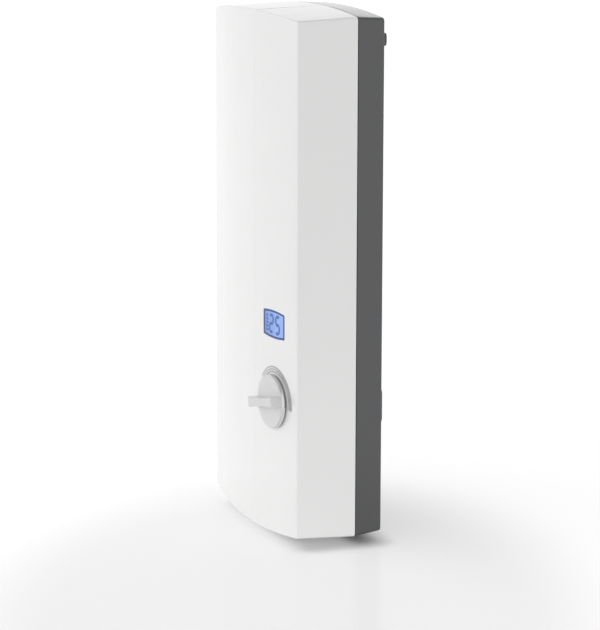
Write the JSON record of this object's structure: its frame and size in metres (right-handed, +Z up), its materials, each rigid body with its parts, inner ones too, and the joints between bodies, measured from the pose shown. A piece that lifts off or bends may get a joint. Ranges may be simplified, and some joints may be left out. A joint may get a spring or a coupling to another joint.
{
  "type": "tankless water heater",
  "caption": "Wall-hung electronic tankless water heater with a bulged white cover, dark rear shell, display window, temperature knob and inner water path.",
  "frame": {"origin": "on the wall, behind the middle of the wall bracket", "axes": "+Z up, +Y into the wall, +X to the right as seen from the front"},
  "size_m": [0.226, 0.1108, 0.485],
  "materials": {
    "white_cover": "satin white moulding",
    "dark_shell": "fine matt, dark grey",
    "grey_knob": "satin light grey",
    "dark_rim": "satin dark grey",
    "clear_window": "clear, polished",
    "display_blue": "backlit blue panel",
    "steel": "zinc-plated",
    "coated_steel": "dark grey powder coat",
    "brass": "machined",
    "copper": "drawn copper",
    "aluminium": "extruded",
    "black_plastic": "fine matt",
    "block_plastic": "glass-filled, matt",
    "white_inner": "matt",
    "red_plastic": "satin",
    "red_wire": "insulation",
    "black_wire": "insulation",
    "circuit_board": "solder-masked board",
    "rubber": "matt"
  },
  "bodies": {
    "casing": {"wall_bracket": "coated_steel", "rear_shell": "dark_shell", "lower_back_panel": "dark_shell", "cable_grommet": "rubber", "wall_pad_left": "rubber", "wall_pad_right": "rubber", "clamp_knob": "black_plastic", "cover_screw": "steel", "heating_block": "block_plastic", "heating_block_cap": "black_plastic", "heater_terminal_1": "brass", "heater_terminal_2": "brass", "heater_terminal_3": "brass", "pressure_limiter": "black_plastic", "thermal_cutout": "black_plastic", "cold_inlet_valve": "brass", "valve_seat": "block_plastic", "cold_union_nut": "brass", "cold_flat_seal": "rubber", "inlet_strainer": "steel", "flow_sensor_housing": "black_plastic", "turbine_bearing": "block_plastic", "flow_sensor_pickup": "black_plastic", "cold_pipe": "copper", "hot_pipe": "copper", "hot_outlet_elbow": "brass", "hot_union_nut": "brass", "hot_flat_seal": "rubber", "inlet_sensor": "steel", "outlet_sensor": "steel", "power_board": "circuit_board", "power_relay": "black_plastic", "filter_choke": "copper", "cooling_plate": "aluminium", "triac_1": "black_plastic", "triac_2": "black_plastic", "triac_3": "black_plastic", "mains_terminal_block": "white_inner", "mains_loom": "black_wire", "heater_loom": "red_wire"},
    "cover": {"front_cover": "white_cover", "display_window": "clear_window", "display_module": "display_blue", "control_board": "circuit_board", "control_housing": "dark_shell", "control_screw_1": "steel", "control_screw_2": "steel", "control_screw_3": "steel", "control_screw_4": "steel", "rotary_encoder": "black_plastic"},
    "knob": {"temperature_knob": "grey_knob", "knob_rim": "dark_rim", "knob_spindle": "block_plastic"},
    "turbine": {"turbine_rotor": "white_inner"},
    "limiter_button": {"limiter_reset_button": "red_plastic"},
    "cutout_pin": {"cutout_reset_pin": "red_plastic"},
    "valve": {"valve_spindle": "brass", "valve_ball": "steel"}
  },
  "joints": [
    {"name": "cover_swing", "type": "hinge", "parent": "casing", "child": "cover", "pos_m": [0, -0.0293, 0.0283], "axis": [-1, 0, 0], "range_deg": [0, 35]},
    {"name": "knob_turn", "type": "hinge", "parent": "cover", "child": "knob", "pos_m": [0.0702, -0.09315, -0.3272], "axis": [0.1147, -0.9934, 0], "range_deg": [-258.5, 11.5]},
    {"name": "turbine_spin", "type": "hinge", "parent": "casing", "child": "turbine", "pos_m": [0.05, -0.038, -0.3412], "axis": [0, 0, 1], "continuous": true},
    {"name": "limiter_reset", "type": "slide", "parent": "casing", "child": "limiter_button", "axis": [0, 1, 0], "range_m": [0, 0.0022], "stiffness_N_per_m": 800, "springref_m": -0.001},
    {"name": "cutout_reset", "type": "slide", "parent": "casing", "child": "cutout_pin", "axis": [0, 1, 0], "range_m": [0, 0.001], "stiffness_N_per_m": 800, "springref_m": -0.0005},
    {"name": "valve_turn", "type": "hinge", "parent": "casing", "child": "valve", "pos_m": [0.05, -0.05, -0.3772], "axis": [0, 1, 0], "range_deg": [0, 90]}
  ]
}
